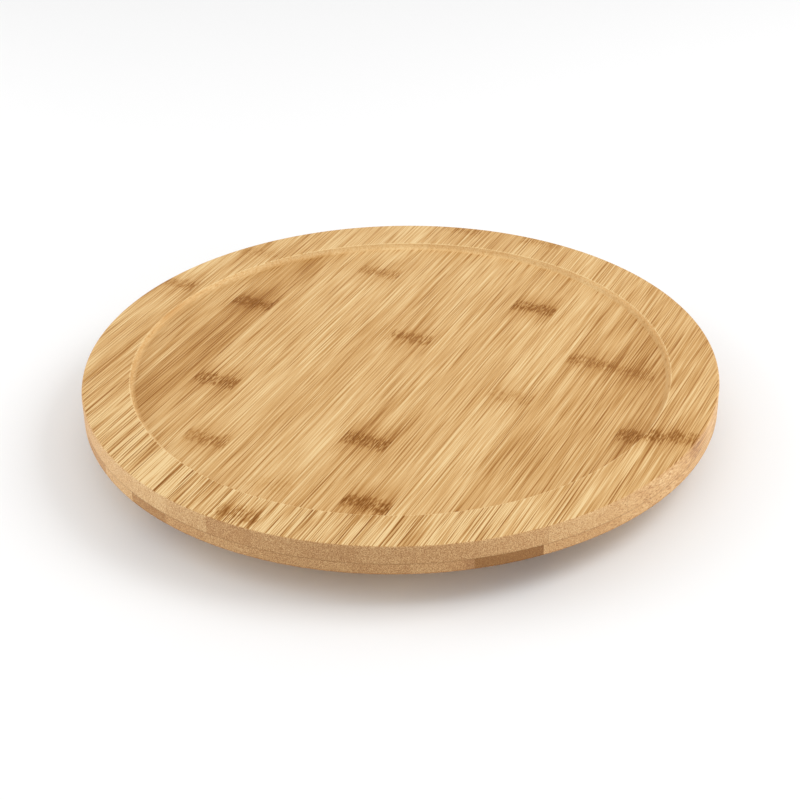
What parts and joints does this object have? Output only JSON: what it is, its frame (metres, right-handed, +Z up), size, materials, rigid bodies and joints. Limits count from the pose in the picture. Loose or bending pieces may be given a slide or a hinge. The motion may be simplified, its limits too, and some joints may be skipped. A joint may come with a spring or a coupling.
{
  "type": "lazy susan turntable",
  "caption": "Round bamboo serving board with a shallow recess that turns freely on a low ball bearing over a small footed base.",
  "frame": {"origin": "on the table under the centre, at the bottom of the rubber feet", "axes": "+Z up along the axis it turns about, +Y along the bamboo strips"},
  "size_m": [0.35, 0.35, 0.035],
  "materials": {
    "bamboo": "satin oiled bamboo strips",
    "bamboo_dark": "satin oiled dark bamboo strips",
    "base_wood": "plain sanded wood",
    "bearing_aluminium": "mill-finish turned aluminium",
    "steel_ball": "polished steel",
    "cage_nylon": "moulded natural nylon",
    "screw_steel": "zinc-plated steel",
    "foot_rubber": "matt black rubber"
  },
  "bodies": {
    "base": {"base_disc": "base_wood", "bearing_inner_ring": "bearing_aluminium", "base_screws": "screw_steel", "foot_screws": "screw_steel", "foot_washers": "screw_steel", "foot_1": "foot_rubber", "foot_2": "foot_rubber", "foot_3": "foot_rubber", "foot_4": "foot_rubber"},
    "board": {"upper_strip_01": "bamboo", "upper_strip_02": "bamboo", "upper_strip_03": "bamboo", "upper_strip_04": "bamboo", "upper_strip_05": "bamboo", "upper_strip_06": "bamboo", "upper_strip_07": "bamboo", "upper_strip_08": "bamboo", "upper_strip_09": "bamboo", "upper_strip_10": "bamboo", "upper_strip_11": "bamboo", "upper_strip_12": "bamboo", "upper_strip_13": "bamboo", "upper_strip_14": "bamboo", "lower_strip_01": "bamboo", "lower_strip_02": "bamboo", "lower_strip_03": "bamboo", "lower_strip_04": "bamboo", "lower_strip_05": "bamboo_dark", "lower_strip_06": "bamboo", "lower_strip_07": "bamboo", "lower_strip_08": "bamboo", "lower_strip_09": "bamboo", "lower_strip_10": "bamboo", "lower_strip_11": "bamboo", "lower_strip_12": "bamboo_dark", "lower_strip_13": "bamboo", "lower_strip_14": "bamboo", "bearing_outer_ring": "bearing_aluminium", "board_screws": "screw_steel", "fill_plug": "screw_steel"},
    "ball_train": {"ball_cage": "cage_nylon", "ball_01": "steel_ball", "ball_02": "steel_ball", "ball_03": "steel_ball", "ball_04": "steel_ball", "ball_05": "steel_ball", "ball_06": "steel_ball", "ball_07": "steel_ball", "ball_08": "steel_ball", "ball_09": "steel_ball", "ball_10": "steel_ball", "ball_11": "steel_ball", "ball_12": "steel_ball", "ball_13": "steel_ball", "ball_14": "steel_ball", "ball_15": "steel_ball", "ball_16": "steel_ball"}
  },
  "joints": [
    {"name": "turntable_spin", "type": "hinge", "parent": "base", "child": "board", "pos_m": [0, 0, 0.01425], "axis": [0, 0, 1], "continuous": true},
    {"name": "ball_orbit", "type": "hinge", "parent": "base", "child": "ball_train", "pos_m": [0, 0, 0.01425], "axis": [0, 0, 1], "continuous": true}
  ],
  "couplings": [
    {"joint": "ball_orbit", "follows": "turntable_spin", "ratio": 0.51524}
  ]
}
